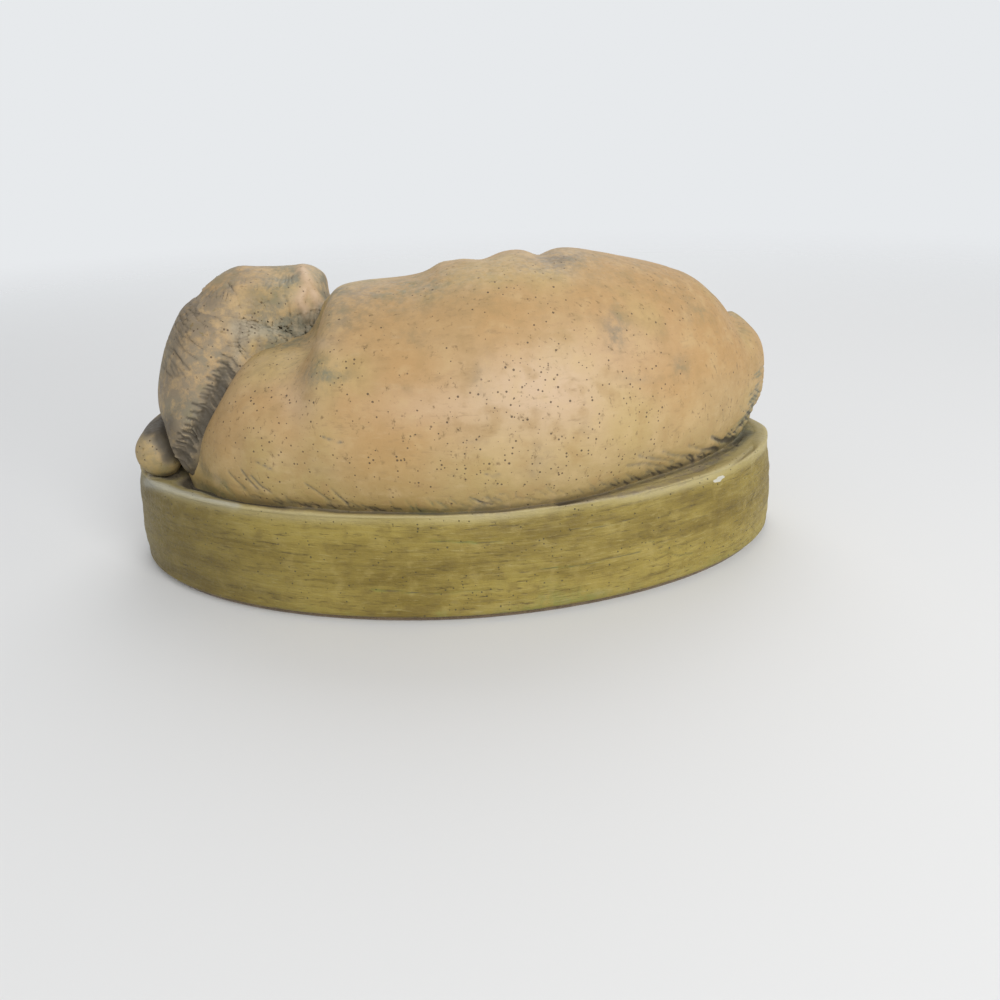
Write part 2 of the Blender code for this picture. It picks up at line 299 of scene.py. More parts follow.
# The base's paint values: wash with painted shade, a painted highlight on the rim and the top and another on
# the left lip, painted shade on the left side and toward the foot, and the bare resin of the chip.
base = closed_skin(
    "base_skin",
    base_grid,
    wash=np.clip(base_wash, 0, 1),
    bright=np.clip(rim + 0.8 * on_top, 0, 1),
    dusty=marked(in_picture(base_grid), LEFT_RIM, 6) * facing(base_grid, TO_VIEW),
    shade=np.clip(-1.6 * normals[..., 0] - 0.15, 0, 1) * on_side + 0.4 * near_foot,
    bare=marked(in_picture(base_grid), CHIP, 2.0) * facing(base_grid, TO_VIEW),
)


def node(tree, kind, inputs=None, **settings):
    """A shader node with its settings and inputs. An input takes a value or another node's output."""
    made = tree.nodes.new(kind)
    for key, value in settings.items():
        setattr(made, key, value)
    for key, value in (inputs or {}).items():
        if isinstance(value, bpy.types.NodeSocket):
            tree.links.new(value, made.inputs[key])
        else:
            made.inputs[key].default_value = value
    return made


def blended(tree, amount, first, second, way="MIX"):
    """The second colour laid over the first by the amount."""
    made = node(tree, "ShaderNodeMix", {0: amount, 6: first, 7: second}, data_type="RGBA", blend_type=way)
    return made.outputs[2]


def ranged(tree, value, low, high, to_low=0.0, to_high=1.0):
    """The value moved smoothly from the range low to high to the range to_low to to_high."""
    inputs = {"Value": value, "From Min": low, "From Max": high, "To Min": to_low, "To Max": to_high}
    return node(tree, "ShaderNodeMapRange", inputs, interpolation_type="SMOOTHSTEP").outputs[0]


def worked(tree, operation, *values):
    """One step of arithmetic on values or on the outputs of other nodes."""
    return node(tree, "ShaderNodeMath", dict(enumerate(values)), operation=operation).outputs[0]


def clouds(tree, place, scale, detail=2.0, roughness=0.5):
    """Noise in soft clouds, with as much fine detail as asked."""
    inputs = {"Vector": place, "Scale": scale, "Detail": detail, "Roughness": roughness}
    return node(tree, "ShaderNodeTexNoise", inputs).outputs[0]


def group_tree(name, result, **inputs):
    """A shader node group with one output. An input's value shows its kind: number, place or colour."""
    kinds = {1: "NodeSocketFloat", 3: "NodeSocketVector", 4: "NodeSocketColor"}
    tree = bpy.data.node_groups.new(name, "ShaderNodeTree")
    for label, value in inputs.items():
        socket = tree.interface.new_socket(label, in_out="INPUT", socket_type=kinds[np.size(value)])
        socket.default_value = value
    kind = "NodeSocketColor" if result == "Colour" else "NodeSocketFloat"
    tree.interface.new_socket(result, in_out="OUTPUT", socket_type=kind)
    return tree, tree.nodes.new("NodeGroupInput").outputs, tree.nodes.new("NodeGroupOutput").inputs[result]


def make_pinholes():
    """Air bubbles that opened at the casting's surface: small round pits, thick in some places."""
    inputs = {"Position": (0, 0, 0), "Spacing": 400, "Size": 0.16, "Crowding": 0.5}
    tree, given, result = group_tree("Pinholes", "Mask", **inputs)
    cells = {"Vector": given["Position"], "Scale": given["Spacing"], "Randomness": 1.0}
    cell = node(tree, "ShaderNodeTexVoronoi", cells, feature="F1")
    chance = node(tree, "ShaderNodeSeparateColor", {0: cell.outputs["Color"]})
    size = worked(tree, "MULTIPLY", given["Size"], chance.outputs[0])
    pit = ranged(tree, worked(tree, "SUBTRACT", size, cell.outputs["Distance"]), 0.0, 0.05)
    crowd = worked(tree, "ADD", clouds(tree, given["Position"], 45.0), given["Crowding"])
    shown = ranged(tree, worked(tree, "SUBTRACT", crowd, chance.outputs[1]), 0.0, 0.1)
    tree.links.new(worked(tree, "MULTIPLY", pit, shown), result)
    return tree


def make_patina():
    """The dark wash that was brushed over the paint and wiped off, and painted shade in the same colours.

    Where a little is left it is a cool grey veil, uneven and in clouds, and in the deep lines it is dark.
    """
    inputs = {"Position": (0, 0, 0), "Colour": (0.5, 0.5, 0.5, 1), "Settled": 0, "Clouds": 0.2}
    tree, given, result = group_tree("Patina", "Colour", **inputs)
    cloud = ranged(tree, clouds(tree, given["Position"], 60.0, 5.0), 0.52, 0.76)
    gritty = ranged(tree, clouds(tree, given["Position"], 420.0, 7.0, 0.72), 0.32, 0.68, 0.35, 1.65)
    both = worked(tree, "ADD", given["Settled"], worked(tree, "MULTIPLY", cloud, given["Clouds"]))
    thin = ranged(tree, worked(tree, "MULTIPLY", both, gritty), 0.0, 0.9, 0.0, 0.85)
    tint = ranged(tree, clouds(tree, given["Position"], 38.0), 0.42, 0.58)
    veil = blended(tree, tint, WASH_COOL, WASH_WARM)
    aged = blended(tree, thin, given["Colour"], veil, "DARKEN")
    deep = ranged(tree, given["Settled"], 0.52, 1.05, 0.0, 0.92)
    tree.links.new(blended(tree, deep, aged, WASH_DARK), result)
    return tree


def make_brush_marks():
    """Fine lines left by the brush and the sculptor's tool: noise drawn out along X and Y."""
    inputs = {"Position": (0, 0, 0), "Stretch": (0.1, 0.1, 1), "Scale": 900}
    tree, given, result = group_tree("Brush marks", "Mask", **inputs)
    pair = {0: given["Position"], 1: given["Stretch"]}
    drawn = node(tree, "ShaderNodeVectorMath", pair, operation="MULTIPLY").outputs[0]
    tree.links.new(clouds(tree, drawn, given["Scale"], 4.0, 0.65), result)
    return tree


# The veil and the dark colour of the wash, which also paint the shade in creases, hollows and contacts.
WASH_COOL = (0.215, 0.212, 0.160, 1)
WASH_WARM = (0.265, 0.215, 0.150, 1)
WASH_DARK = (0.070, 0.058, 0.042, 1)
pinholes = make_pinholes()
patina = make_patina()
brush_marks = make_brush_marks()


def placed(tree, group, **inputs):
    """What a node group puts out in a material, with its inputs by name."""
    return node(tree, "ShaderNodeGroup", inputs, node_tree=group).outputs[0]


def new_material(name, roughness, specular):
    """A material with its tree, its Principled shader and the object's own coordinates."""
    material = bpy.data.materials.new(name)
    material.use_nodes = True
    tree = material.node_tree
    shader = tree.nodes["Principled BSDF"]
    shader.inputs["Roughness"].default_value = roughness
    shader.inputs["Specular IOR Level"].default_value = specular
    return material, tree, shader, tree.nodes.new("ShaderNodeTexCoord").outputs["Object"]


def measured(tree, name):
    """A value that the mesh holds for each point."""
    return node(tree, "ShaderNodeAttribute", attribute_name=name).outputs["Fac"]


def layered(tree, colour, coats):
    """Coats of paint over a colour: each covers it by up to its most, as its value runs from low to high."""
    for value, low, high, most, paint in coats:
        colour = blended(tree, ranged(tree, value, low, high, 0, most), colour, paint)
    return colour


OLIVE = (0.188, 0.133, 0.022, 1)
MUSTARD = (0.345, 0.262, 0.058, 1)
STRAW = (0.40, 0.32, 0.11, 1)
UMBER = (0.115, 0.083, 0.022, 1)
BLACK_BROWN = (0.075, 0.052, 0.018, 1)
MOSS = (0.150, 0.103, 0.024, 1)
OCHRE = (0.40, 0.31, 0.095, 1)
SAND = (0.46, 0.38, 0.15, 1)
SHADED_OLIVE = (0.085, 0.062, 0.018, 1)
PALE_RIM = (0.45, 0.375, 0.175, 1)
RIM_DUST = (0.42, 0.41, 0.34, 1)
OLIVE_PIT = (0.06, 0.05, 0.025, 1)
BARE_RESIN = (0.56, 0.54, 0.46, 1)


def make_base_paint():
    """Olive and mustard drawn along the side, painted highlight on the rim and top, wash in its lines."""
    material, tree, shader, place = new_material("base_paint", 0.5, 0.35)
    broad = placed(tree, brush_marks, Position=place, Stretch=(0.22, 0.22, 1), Scale=95.0)
    marks = placed(tree, brush_marks, Position=place, Stretch=(0.09, 0.09, 1), Scale=800.0)
    fine = placed(tree, brush_marks, Position=place, Stretch=(0.14, 0.14, 1), Scale=1900.0)
    scuffs = clouds(tree, place, 330.0, 7.0)
    colour = layered(tree, OLIVE, [
        (broad, 0.33, 0.62, 1, MUSTARD),
        (marks, 0.54, 0.74, 0.40, STRAW),
        (marks, 0.47, 0.28, 0.65, UMBER),
        (fine, 0.44, 0.28, 0.85, BLACK_BROWN),
        (scuffs, 0.50, 0.74, 0.50, MOSS),
        (scuffs, 0.48, 0.30, 0.40, OCHRE),
        (fine, 0.58, 0.72, 0.35, SAND),
        (measured(tree, "shade"), 0, 1, 0.55, SHADED_OLIVE),
    ])
    # A painted highlight on the rim and the top, and a paler grey painted highlight on the left lip.
    colour = blended(tree, measured(tree, "bright"), colour, PALE_RIM)
    colour = layered(tree, colour, [(measured(tree, "dusty"), 0, 1, 0.7, RIM_DUST)])
    colour = placed(tree, patina, Position=place, Colour=colour, Settled=measured(tree, "wash"), Clouds=0.30)
    holes = placed(tree, pinholes, Position=place, Spacing=1100.0, Size=0.26, Crowding=0.02)
    colour = layered(tree, colour, [
        (holes, 0, 1, 0.8, OLIVE_PIT),
        (measured(tree, "bare"), 0.45, 0.6, 1, BARE_RESIN),
    ])
    tree.links.new(colour, shader.inputs["Base Color"])
    grain = clouds(tree, place, 1500.0, 4.0)
    relief = worked(tree, "MULTIPLY_ADD", fine, 3.5, grain)
    relief = worked(tree, "MULTIPLY_ADD", holes, -3.0, relief)
    bump = node(tree, "ShaderNodeBump", {"Height": relief, "Strength": 0.55, "Distance": 0.00016})
    tree.links.new(bump.outputs[0], shader.inputs["Normal"])
    tree.links.new(ranged(tree, grain, 0.3, 0.7, 0.42, 0.62), shader.inputs["Roughness"])
    return material


base.data.materials.append(make_base_paint())
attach(base, "root")
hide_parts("base")


# Felt pad
# A sheet of short-pile felt, cut to the oval and glued inside the base's foot, so that it can't scratch a
# table. Its cut edge is a little rounded.

felt_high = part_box("felt_pad")[1]
FELT_AROUND = 240
FELT_RINGS = [0, 0.4, 0.75, 0.93]
FELT_EDGE = 0.25 * felt_high.z
felt_half = np.array([felt_high.x, felt_high.y])
felt_turn = np.linspace(-1, 1, 9)
felt_pull = FELT_EDGE * (1 - np.sqrt(1 - np.abs(felt_turn) ** 3))
shares = np.concatenate([FELT_RINGS, np.ones(9), FELT_RINGS[::-1]])
heights = np.concatenate([np.zeros(4), felt_high.z / 2 * (1 + felt_turn), np.full(4, felt_high.z)])
reach = felt_half * shares[:, None] - np.pad(felt_pull, 4)[:, None]
felt = closed_skin("felt_sheet", oval_rings(reach, heights, FELT_AROUND))

DARK_FIBRE = (0.10, 0.068, 0.040, 1)
PALE_FIBRE = (0.19, 0.14, 0.085, 1)
TUFT = (0.24, 0.17, 0.10, 1)


def make_felt():
    """Brown felt: short fibres every way, seen as fine noise in its colour and height."""
    material, tree, shader, place = new_material("felt", 0.95, 0.1)
    noise = {"Vector": place, "Scale": 2600.0, "Detail": 4.0, "Distortion": 1.5}
    fibres = node(tree, "ShaderNodeTexNoise", noise).outputs[0]
    tufts = clouds(tree, place, 300.0)
    colour = layered(tree, DARK_FIBRE, [(fibres, 0.35, 0.65, 1, PALE_FIBRE), (tufts, 0.4, 0.7, 0.4, TUFT)])
    tree.links.new(colour, shader.inputs["Base Color"])
    bump = node(tree, "ShaderNodeBump", {"Height": fibres, "Strength": 0.6, "Distance": 0.0001})
    tree.links.new(bump.outputs[0], shader.inputs["Normal"])
    shader.inputs["Sheen Weight"].default_value = 0.3
    shader.inputs["Sheen Roughness"].default_value = 0.6
    return material


felt.data.materials.append(make_felt())
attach(felt, "root")
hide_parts("felt_pad")


# Body
# The torso on its side, back to the viewer of the photo: shoulder, ribs, hip and rump in one soft mass. It
# was cast in one with the base, and its coat is only hinted at, by short strokes along its lower edge.

BASE_FLOOR = BASE_TOP - LIP_HEIGHT
DOG_HEIGHT = 0.045


def through(rows, shares):
    """Values on a Catmull-Rom curve through the rows.

    The shares say how far along they are, from 0 at the first row to 1 at the last.
    """
    rows = np.array(rows, float)
    padded = np.vstack([2 * rows[0] - rows[1], rows, 2 * rows[-1] - rows[-2]])
    place = np.clip(shares, 0, 1) * (len(rows) - 1)
    index = np.minimum(place.astype(int), len(rows) - 2)
    t = (place - index)[:, None]
    before, start, stop, after = (padded[index + step] for step in range(4))
    bend = (2 * before - 5 * start + 4 * stop - after) * t**2
    twist = (3 * start - before - 3 * stop + after) * t**3
    return start + 0.5 * ((stop - before) * t + bend + twist)


def stations(rows, across):
    """A form's stations in metres: its centre, then its left, right, top and bottom sizes.

    They are given in per cent of the base's half length and half width and of the puppy's height.
    """
    rows = np.array(rows, float) / 100
    rows[:, :3] = rows[:, :3] * (HALF_LENGTH, HALF_WIDTH, DOG_HEIGHT) + (0, 0, BASE_FLOOR)
    rows[:, 3:5] *= across
    rows[:, 5:7] *= DOG_HEIGHT
    return rows


LINE_STEPS = 400
DOME_POINTS = 1.3
SMOOTHING = 30


def loft(rows, heading, ends, counts, power=2.1, roll=0, turns=None):
    """A grid of rings along the stations' smooth centre line, with round ends.

    Ring: centre + side * size * cos + up * size * sin, raised to the superellipse's power. The rings stand
    across the heading, or across the line itself where there is none, and their points are evenly spaced
    unless the turns give their angles. The ends are how far the round ends reach, in per cent of the base's
    half length: there the ring shrinks by the cosine and moves out by the sine of an angle that runs to a
    quarter turn. The counts are the rings and the points of each. Last, each point is moved toward its two
    neighbours along the form, so that no edge stays at a round end.
    """
    length, around = counts
    fine = through(rows, np.linspace(0, 1, LINE_STEPS))
    steps = np.linalg.norm(np.diff(fine[:, :3], axis=0), axis=1)
    reach = np.concatenate([[0], np.cumsum(steps)])
    domes = [max(end * HALF_LENGTH / 100, 0.6 * min(row[3:7])) for end, row in zip(ends, rows[[0, -1]])]
    total = reach[-1] + DOME_POINTS * sum(domes)
    first, last = (max(6, round(length * DOME_POINTS * dome / total)) for dome in domes)
    places = np.linspace(0, reach[-1], length - first - last)
    shares = np.interp(places, reach, np.linspace(0, 1, LINE_STEPS))
    middle = through(rows, shares)
    if heading is None:
        along = np.gradient(middle[:, :3], axis=0)
        along /= np.linalg.norm(along, axis=1, keepdims=True)
    else:
        along = np.tile(np.array(heading, float), (len(middle), 1))
    level = np.cross(along, (0, 0, 1))
    level /= np.linalg.norm(level, axis=1, keepdims=True)
    turn = math.radians(roll)
    side = level * math.cos(turn) - np.cross(level, along) * math.sin(turn)
    up = np.cross(side, along)
    angle = np.linspace(0, 2 * math.pi, around, endpoint=False) if turns is None else turns
    across, rise = oval(-angle, power)
    sides = across * np.where(across < 0, middle[:, 3:4], middle[:, 4:5])
    rises = rise * np.where(rise < 0, middle[:, 6:7], middle[:, 5:6])
    grid = middle[:, None, :3] + sides[..., None] * side[:, None] + rises[..., None] * up[:, None]
    caps = []
    for row, count, way, depth in ((0, first, -1, ends[0]), (-1, last, 1, ends[1])):
        bend = np.linspace(0, math.pi / 2, count + 1)[1:, None, None]
        shift = way * along[row] * depth * HALF_LENGTH / 100
        centre = middle[row, :3]
        caps.append(centre + (grid[row] - centre) * np.cos(bend) + shift * np.sin(bend))
    grid = np.concatenate([caps[0][::-1], grid, caps[1]])
    for _ in range(SMOOTHING):
        grid[1:-1] = (grid[:-2] + 2 * grid[1:-1] + grid[2:]) / 4
    return grid


def with_mounds(grid, mounds):
    """Lifts the grid in soft mounds, or sinks it in dips where a mound's height is below zero.

    A mound gives its centre as a station does, its reach in the same three ways, and its height in per cent
    of the puppy's height. The lift is the height times e to the minus squared distance over the reach.
    """
    lifted = grid.copy()
    scale = np.array([HALF_LENGTH, HALF_WIDTH, DOG_HEIGHT])
    for mound in np.array(mounds, float) / 100:
        away = (grid - mound[:3] * scale - (0, 0, BASE_FLOOR)) / (mound[3:6] * scale)
        lifted[..., 2] += mound[6] * DOG_HEIGHT * np.exp(-(away**2).sum(-1))
    return lifted


# Painted shade along the foot of each form, where it meets the base.
WASH_REACH = 0.0010
LOW_WASH = 0.35
TOP_VEIL = 0.24


def settled(grid):
    """Painted shade where the form meets the base, with the wash there, and a thin veil on what faces up."""
    low = np.exp(-(((grid[..., 2] - BASE_TOP) / WASH_REACH).clip(0) ** 2)) * LOW_WASH
    return low + TOP_VEIL * np.clip(grid_normals(grid)[..., 2], 0, 1) ** 2


def strokes_along(path, count, run, stray, seed):
    """Short bowed strokes that start along a path and run off it, each a little its own way.

    The run leads from a stroke's start to its end, and the stray is how far its points wander from there.
    """
    chance = np.random.default_rng(seed)
    starts = through(path, np.linspace(0, 1, count)) + chance.normal(0, stray, (count, 2))
    stops = starts + np.array(run) * chance.uniform(0.6, 1.25, (count, 1))
    stops += chance.normal(0, stray, (count, 2))
    bows = (starts + stops) / 2 + chance.normal(0, stray * 0.5, (count, 2))
    return list(np.stack([starts, bows, stops], 1))


def waved(grid, size, rise, seed, stretch=1.0):
    """The grid moved along its normals by the ripple of its stretched points times the rise."""
    return grid + grid_normals(grid) * (ripple(grid * stretch, size, seed) * rise)[..., None]


def patches(space, rows):
    """Soft oval patches, each with its centre, its reach and its strength.

    Each adds its strength times e to the minus squared distance over the reach.
    """
    return sum(amount * np.exp(-(((space - centre) / reach) ** 2).sum(-1)) for centre, reach, amount in rows)


BODY_AROUND = 236
BODY_TURNS = np.interp(
    np.linspace(0, 1, BODY_AROUND, endpoint=False),
    [0, 0.10, 0.20, 1],
    np.radians([0, 28, 152, 360]),
)
body_rows = stations([
    (-76, -36, 5, 8, 8, 11, 17),
    (-71, -36, 11, 16, 19, 19, 27),
    (-65, -32, 16, 30, 34, 27, 37),
    (-58, -28, 20, 42, 46, 36, 43),
    (-50, -26, 23, 50, 56, 38, 46),
    (-41, -26, 24, 58, 61, 41, 48),
    (-35, -28, 25, 63, 63, 57, 48),
    (-28, -30, 25, 65, 64, 63, 49),
    (-8, -29, 25, 69, 71, 66, 50),
    (12, -26, 25, 71, 75, 73, 50),
    (33, -17, 25, 70, 75, 73, 50),
    (53, -6, 25, 66, 67, 67, 48),
    (73, 8, 24, 56, 60, 56, 44),
    (88, 17, 23, 36, 42, 38, 36),
    (97, 20, 24, 20, 24, 26, 18),
], HALF_WIDTH)
SHOULDER = (1, -19, 95, 7, 33, 22, 2.2)
WAIST = (25, -10, 100, 3.5, 33, 18, -3.1)
HIP = (35, -5, 100, 5.5, 33, 22, 0.9)
RUMP = (83, 0, 78, 4.7, 33, 20, -5.8)
SHOULDER_BLADE = (-3, -6, 97, 3, 33, 20, 1.6)
SPINE_DIP = (9, -8, 98, 4.5, 33, 20, -2.4)
RUMP_STEP = (87.5, 18, 60, 4, 36, 26, -7.4)
EAR_REST = (-38.5, -42, 82, 4.2, 20, 20, -11)
body_grid = loft(body_rows, (1, 0, 0), (4, 3), (414, BODY_AROUND), 2.3, turns=BODY_TURNS)
body_mounds = [SHOULDER, WAIST, HIP, RUMP, SHOULDER_BLADE, SPINE_DIP, RUMP_STEP, EAR_REST]
body_grid = with_mounds(body_grid, body_mounds)
body_grid = waved(body_grid, 0.03, 0.00022, 11, (0.6, 1, 1))
body_grid = waved(body_grid, 0.009, 0.00007, 12, (0.4, 1, 1))
on_body = in_picture(body_grid)

GREY_PATCHES = [
    ((615, 331), (13, 21), 0.46),
    ((681, 368), (12, 13), 0.42),
    ((640, 378), (30, 6), 0.22),
    ((328, 375), (26, 12), 0.40),
    ((561, 260), (28, 10), 0.50),
    ((372, 297), (52, 12), 0.26),
    ((425, 285), (34, 12), 0.20),
    ((414, 338), (16, 10), 0.16),
    ((345, 318), (26, 14), 0.24),
    ((560, 318), (34, 5), 0.12),
    ((400, 390), (24, 6), 0.18),
    ((330, 470), (30, 6), 0.14),
    ((478, 442), (26, 4), 0.20),
    ((640, 452), (26, 5), 0.16),
]
body_wash = settled(body_grid) + patches(on_body, GREY_PATCHES) * facing(body_grid, TO_VIEW)
LOWER_EDGE = [(232, 490), (300, 504), (400, 510), (500, 502), (600, 488), (680, 468), (740, 436), (760, 396)]
LOWER_TUFTS = [
    [(228, 472), (236, 481), (245, 489)],
    [(241, 470), (248, 480), (258, 490)],
    [(251, 476), (260, 486), (271, 493)],
    [(305, 484), (316, 491), (330, 501)],
    [(331, 489), (339, 497), (348, 504)],
    [(470, 498), (480, 502), (492, 505)],
    [(484, 474), (492, 476), (500, 475)],
    [(320, 436), (330, 440), (343, 443)],
    [(255, 462), (264, 466), (272, 470)],
]
LOWER_SHADE = [[(600, 486), (660, 471), (704, 455), (736, 436), (752, 414)]]
RUMP_FRINGE = [(763, 366), (761, 384), (757, 398), (750, 412), (741, 424), (728, 436)]
SHADED_TUFTS = [
    [(628, 466), (644, 464), (660, 466)],
    [(640, 456), (655, 459), (672, 461)],
    [(664, 452), (676, 456), (692, 456)],
    [(690, 446), (702, 450), (716, 448)],
    [(712, 438), (722, 441), (734, 438)],
]
# A soft fold across the belly, cut in, with a little painted shade in it.
BELLY_FOLD = [[(440, 432), (500, 435), (560, 431), (600, 424)]]
# Painted shade where the neck's foot meets the base, at the left.
NECK_FOOT = [[(194, 440), (197, 458), (206, 474), (224, 484)]]
SHELF_EDGE = [[(246, 346), (268, 346), (296, 344), (322, 338)]]
body_grid, body_wash = draw_on(body_grid, body_wash, [
    (LOWER_TUFTS, 1.1, 0.25, 0.80),
    (strokes_along(LOWER_EDGE, 80, (-8, -5), 2.2, 21), 1.0, 0.14, 0.45),
    (LOWER_SHADE, 5, 0.0, 0.32),
    (strokes_along(RUMP_FRINGE, 22, (-8, 9), 0.9, 23), 1.0, 0.22, 0.50),
    (SHADED_TUFTS, 2.2, 0.20, 0.60),
    (BELLY_FOLD, 8, 0.30, 0.06),
    (NECK_FOOT, 5, 0.2, 0.45),
    (SHELF_EDGE, 3.0, 0.15, 0.15),
])

# Rosy wear, with a painted highlight where the light falls most on the body.
ROSY_PLACES = [
    ((540, 392), (74, 40), 0.9),
    ((430, 408), (60, 22), 0.45),
    ((298, 400), (22, 22), 0.45),
    ((620, 345), (60, 34), 0.35),
    ((320, 344), (20, 9), 0.4),
]
PITTED_PLACES = [
    ((532, 385), (48, 48), 0.72),
    ((560, 460), (66, 24), 0.85),
    ((650, 408), (44, 22), 0.35),
    ((650, 330), (40, 16), 0.30),
    ((410, 440), (90, 40), 0.22),
    ((270, 400), (50, 40), 0.26),
    ((430, 470), (40, 12), 0.30),
]
PITS = 0.10
FAR_PITS = 0.15

OCHRE_REACH = 0.014


def low_down(grid):
    """From 1 at the base's top, where the paint turns to ochre, to 0 well above it."""
    return np.exp(-(grid[..., 2] - BASE_TOP).clip(0) / OCHRE_REACH)


seen_side = facing(body_grid, TO_VIEW)
body_pits = (PITS + patches(on_body, PITTED_PLACES)) * seen_side + FAR_PITS * (1 - seen_side)
body = closed_skin(
    "body_skin",
    body_grid,
    wash=body_wash,
    low=low_down(body_grid),
    rosy=np.clip(patches(on_body, ROSY_PLACES) * seen_side, 0, 1),
    pits=np.clip(body_pits, 0, 1),
)

TAN = (0.475, 0.290, 0.122, 1)
HONEY = (0.520, 0.372, 0.195, 1)
YELLOW_TAN = (0.500, 0.360, 0.130, 1)
DULL_OCHRE = (0.360, 0.262, 0.092, 1)
WORN_ROSE = (0.600, 0.435, 0.285, 1)
CREAM = (0.62, 0.47, 0.28, 1)
BROWN = (0.27, 0.18, 0.09, 1)
RUST = (0.395, 0.250, 0.105, 1)
WHEAT = (0.580, 0.420, 0.215, 1)
DARK_FLECK = (0.20, 0.130, 0.060, 1)
COAT_DUST = (0.40, 0.36, 0.27, 1)
COAT_PIT = (0.085, 0.058, 0.035, 1)


def make_coat_paint():
    """Tan brushed over the puppy, ochre low down, rosy with wear and a painted highlight, open pinholes."""
    material, tree, shader, place = new_material("coat_paint", 0.60, 0.28)
    broad = clouds(tree, place, 26.0, 3.0)
    soft = clouds(tree, place, 52.0, 4.0)
    blotch = clouds(tree, place, 210.0, 6.0)
    marks = placed(tree, brush_marks, Position=place, Stretch=(0.3, 0.5, 1), Scale=800.0)
    flecks = placed(tree, brush_marks, Position=place, Stretch=(0.55, 0.8, 0.35), Scale=1500.0)
    colour = layered(tree, TAN, [
        (broad, 0.38, 0.60, 1, HONEY),
        (soft, 0.50, 0.70, 0.6, YELLOW_TAN),
        (measured(tree, "low"), 0.1, 1.0, 0.8, DULL_OCHRE),
    ])
    # Rosy wear with a painted highlight.
    colour = blended(tree, measured(tree, "rosy"), colour, WORN_ROSE)
    colour = layered(tree, colour, [
        (marks, 0.54, 0.78, 0.22, CREAM),
        (marks, 0.45, 0.25, 0.45, BROWN),
        (blotch, 0.48, 0.70, 0.50, RUST),
        (blotch, 0.50, 0.28, 0.40, WHEAT),
        (flecks, 0.41, 0.27, 0.80, DARK_FLECK),
        (measured(tree, "dusty"), 0, 1, 0.80, COAT_DUST),
    ])
    colour = placed(tree, patina, Position=place, Colour=colour, Settled=measured(tree, "wash"), Clouds=0.30)
    crowding = ranged(tree, measured(tree, "pits"), 0.0, 1.0, -0.30, 0.52)
    holes = placed(tree, pinholes, Position=place, Spacing=1350.0, Size=0.35, Crowding=crowding)
    colour = layered(tree, colour, [(holes, 0, 1, 0.85, COAT_PIT)])
    tree.links.new(colour, shader.inputs["Base Color"])
    grain = clouds(tree, place, 1300.0, 4.0)
    relief = worked(tree, "MULTIPLY_ADD", marks, 2.0, grain)
    relief = worked(tree, "MULTIPLY_ADD", holes, -4.0, relief)
    bump = node(tree, "ShaderNodeBump", {"Height": relief, "Strength": 0.35, "Distance": 0.00014})
    tree.links.new(bump.outputs[0], shader.inputs["Normal"])
    tree.links.new(ranged(tree, grain, 0.3, 0.7, 0.52, 0.72), shader.inputs["Roughness"])
    return material


coat_paint = make_coat_paint()


def cast(piece, node):
    """Paints a form of the puppy, fixes it to the model and lets it stand for its CAD node."""
    piece.data.materials.append(coat_paint)
    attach(piece, "root")
    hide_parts(node)


cast(body, "body")


# Head
# The head rests on its chin with the nape toward the body, the crown up and the muzzle to the far side. It
# is of the same casting and paint as the body. The face has a broad brow, closed eyes, soft cheeks and a
# dark nose, pressed in with a small tool.


def finish_form(name, grid, wash, node, rosy=0.0, pits=0.12, dusty=0.0):
    """The mesh of a form with its paint values, one number or one for each point, painted and fixed."""
    whole = np.zeros(grid.shape[:2])
    values = {"rosy": rosy + whole, "pits": pits + whole, "dusty": dusty + whole}
    piece = closed_skin(f"{name}_skin", grid, wash=wash, low=low_down(grid), **values)
    cast(piece, node)
    return piece


def on_skin(grid, places):
    """Points on a form, each given by its share of the way along it and its angle round it in degrees.

    Seen along the form, the angle runs from its right side over its top to its left side.
    """
    places = np.array(places, float)
    rings, count = grid.shape[:2]
    row = np.clip(np.round(places[..., 0] * (rings - 1)).astype(int), 1, rings - 2)
    column = np.round(-places[..., 1] / 360 * count).astype(int) % count
    return grid[row, column]


def carve(grid, wash, cuts):
    """Cuts sets of lines into a form and stains them.

    A set gives its lines as on_skin takes them, their width and depth in millimetres and their stain.
    """
    for lines, width, depth, stain in cuts:
        skin_lines = [on_skin(grid, through(line, np.linspace(0, 1, 14))) for line in lines]
        grid, wash = cut_in(grid, wash, marked(grid, skin_lines, width / 1000), depth, stain)
    return grid, wash


STROKE_WIDTH = 0.28
STROKE_DEPTH = 0.10


def coat(grid, wash, patch, count, run, seed, stain=0.24):
    """Scatters short strokes of the coat over a patch of a form.

    The patch is two shares along the form and two angles round it, and the run leads along a stroke.
    """
    chance = np.random.default_rng(seed)
    low_share, high_share, low_turn, high_turn = patch
    starts = np.stack([
        chance.uniform(low_share, high_share, count), chance.uniform(low_turn, high_turn, count)
    ], -1)
    stops = starts + np.array(run) * chance.uniform(0.6, 1.3, (count, 1))
    bows = (starts + stops) / 2 + chance.normal(0, 1, (count, 2)) * (0.002, 1.0)
    return carve(grid, wash, [(list(np.stack([starts, bows, stops], 1)), STROKE_WIDTH, STROKE_DEPTH, stain)])


def shifted(line, right, down):
    """The line moved right and down in the picture."""
    return [(x + right, y + down) for x, y in line]


